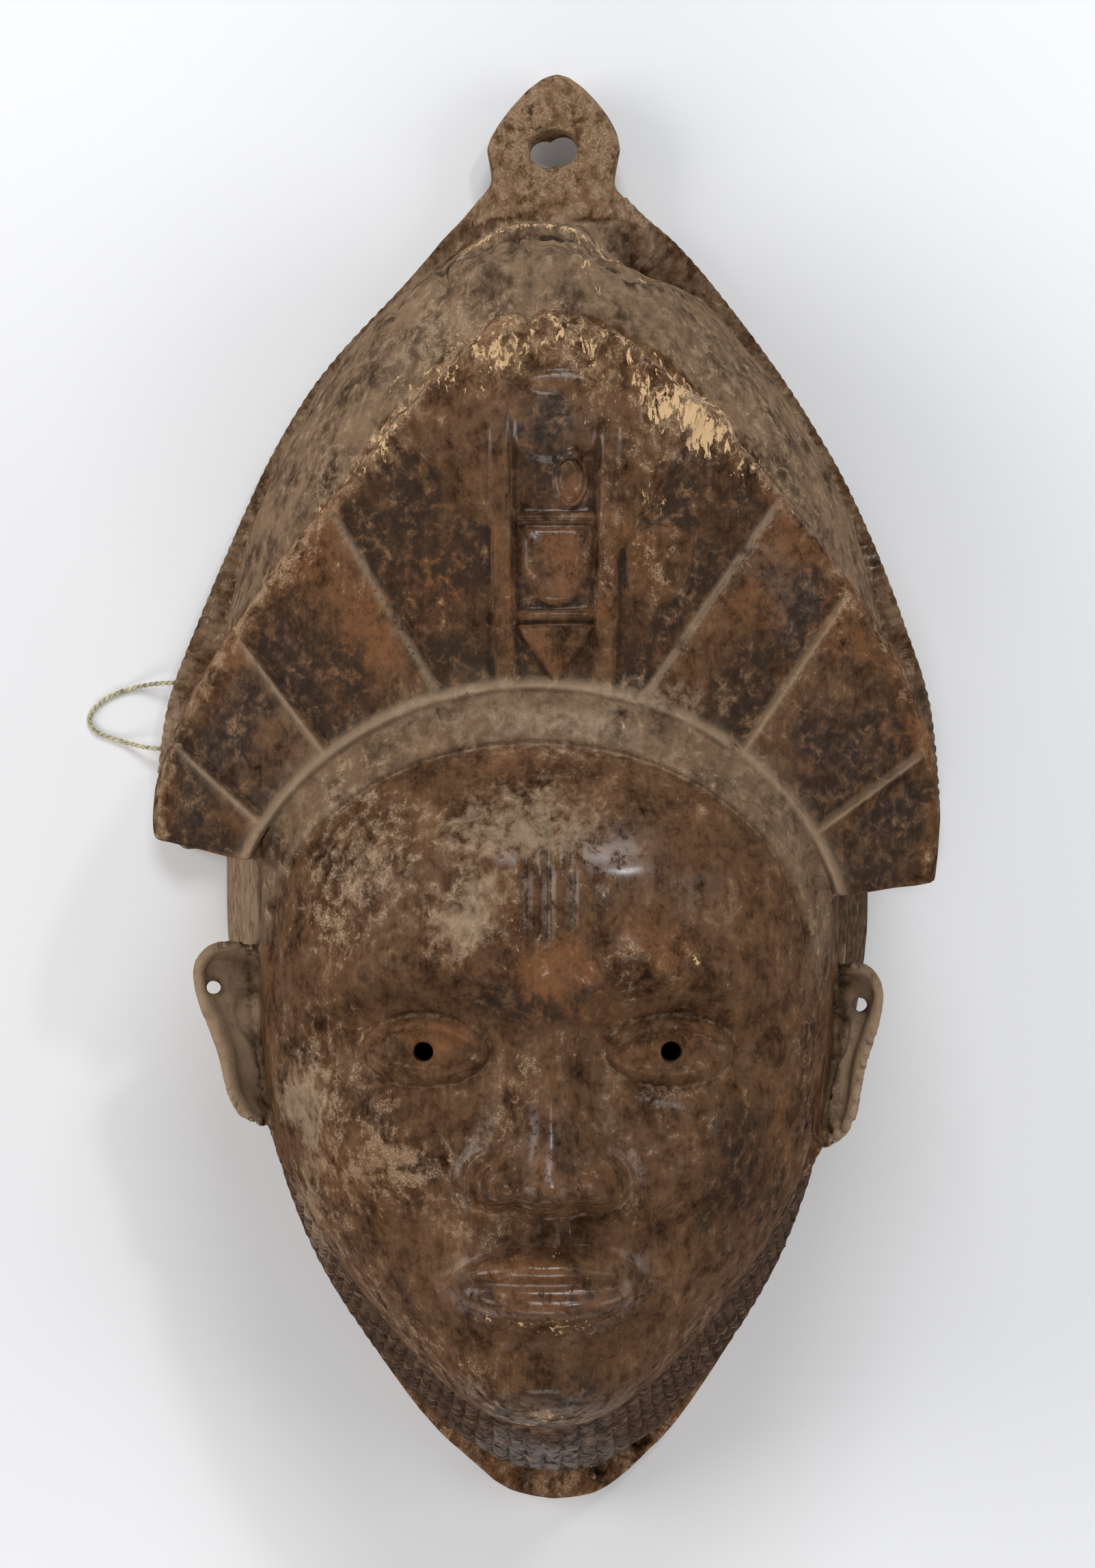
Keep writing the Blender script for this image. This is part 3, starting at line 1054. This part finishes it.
DEEP = (0.022, 0.011, 0.006, 1)
UMBER = (0.058, 0.029, 0.015, 1)
BROWN = (0.112, 0.057, 0.029, 1)
TAN = (0.240, 0.142, 0.078, 1)
RED_BROWN = (0.165, 0.067, 0.027, 1)
SOOT = (0.022, 0.016, 0.013, 1)
BARK = (0.092, 0.060, 0.039, 1)
GREY_BROWN = (0.215, 0.140, 0.086, 1)
DUST = (0.320, 0.228, 0.150, 1)
FLECK = (0.400, 0.290, 0.190, 1)
RAW_OCHRE = (0.600, 0.400, 0.215, 1)

# Noise of several sizes, each named for what it draws and given by the width of its hills in millimetres.
clouds = noise((30, 36, 30), 3)
patches = noise((10, 12.5, 10), 6, 0.68, 0.15)
mottle = noise((3.2, 3.8, 3.2), 5, 0.72, 0.3)
marks = noise((1.6, 1.9, 1.6), 5, 0.7, 0.5)
fine = noise((0.8, 1.1, 0.8), 3, 0.6)
grain = noise((1.1, 15, 4), 4, 0.6, 0.4)
pores = noise((0.4, 3.0, 0.8), 3, 0.6)
splinters = noise((1.5, 3.4, 2.2), 5, 0.68, 0.8)

tone = plus(times(patches, 0.50), times(mottle, 0.32))
tone = plus(tone, times(plus(grain, fine), 0.09))
colour = layered(DEEP, UMBER, window(tone, 0.37, 0.45))
colour = layered(colour, BROWN, window(tone, 0.43, 0.53))
colour = layered(colour, TAN, times(window(tone, 0.52, 0.64), 0.75))
red = broken_edge(tint("warm"), patches, 2.4, 0.35, 1.0)
red = times(red, window(maths("MAXIMUM", mottle, fine), 0.40, 0.62))
colour = layered(colour, RED_BROWN, times(red, 0.8))
rubbed = broken_edge(tint("worn"), mottle, 2.0, 0.35, 0.95)
colour = layered(colour, TAN, times(rubbed, 0.75))
bark_or_grey = layered(BARK, GREY_BROWN, window(tone, 0.40, 0.56))
bleached = broken_edge(tint("grey"), patches, 1.4, 0.30, 0.75)
colour = layered(colour, bark_or_grey, times(bleached, 0.9))
soot = broken_edge(tint("dark"), patches, 2.0, 0.40, 0.90)
soot = times(soot, window(mottle, 0.68, 0.45))
colour = layered(colour, SOOT, times(soot, 0.85))
settled = broken_edge(tint("dust"), mottle, 1.6, 0.35, 0.95)
colour = layered(colour, DUST, times(settled, 0.7))
silted = times(tint("silt"), window(patches, 0.25, 0.5))
colour = layered(colour, DUST, times(silted, 0.8))

off_middle = maths("ABSOLUTE", minus(marks, 0.5), 0.0)
squiggles = maths("MAXIMUM", window(off_middle, 0.030, 0.010), window(marks, 0.60, 0.66))
clusters = plus(times(clouds, 0.5), times(mottle, 0.8))
clusters = plus(clusters, times(tint("worn"), 0.12))
clusters = minus(clusters, times(tint("dark"), 0.08))
clusters = window(clusters, 0.71, 0.80)
flaked = times(squiggles, clusters)
colour = layered(colour, FLECK, times(flaked, 0.8))
raw = broken_edge(tint("bare"), splinters, 2.4, 0.56, 0.68)
colour = layered(colour, RAW_OCHRE, times(raw, 0.95))
open_pores = window(pores, 0.34, 0.24)
colour = layered(colour, SOOT, times(open_pores, 0.55))
tree.links.new(colour, wood_shader.inputs["Base Color"])

dusty_or_grey = maths("MAXIMUM", settled, bleached)
dulled = maths("MAXIMUM", dusty_or_grey, maths("MAXIMUM", raw, flaked))
roughness = plus(times(dulled, 0.38), times(fine, 0.20))
tree.links.new(plus(roughness, 0.20), wood_shader.inputs["Roughness"])
wood_shader.inputs["Specular IOR Level"].default_value = 0.0
polish = plus(times(tint("polish"), 0.93), 0.07)
polished = times(polish, minus(1.0, dulled))
polished = times(polished, window(mottle, 0.36, 0.52))
tree.links.new(polished, wood_shader.inputs["Coat Weight"])
wood_shader.inputs["Coat Roughness"].default_value = 0.22

height = plus(times(mottle, 0.7), times(marks, 0.35))
height = plus(height, times(fine, 0.22))
height = minus(height, times(open_pores, 0.25))
height = minus(height, times(raw, 0.2))
# Soot fills the small dents, so the dark parts are smoother.
smoothed = minus(1.0, times(tint("dark"), 0.85))
height = times(minus(height, 0.6), smoothed)
relief = add_node(tree, "ShaderNodeBump", {"Height": height, "Strength": 0.7, "Distance": 0.8 * MM})
tree.links.new(relief.outputs["Normal"], wood_shader.inputs["Normal"])

mask.data.materials.clear()
mask.data.materials.append(wood)
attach(mask, "root")
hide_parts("mask")
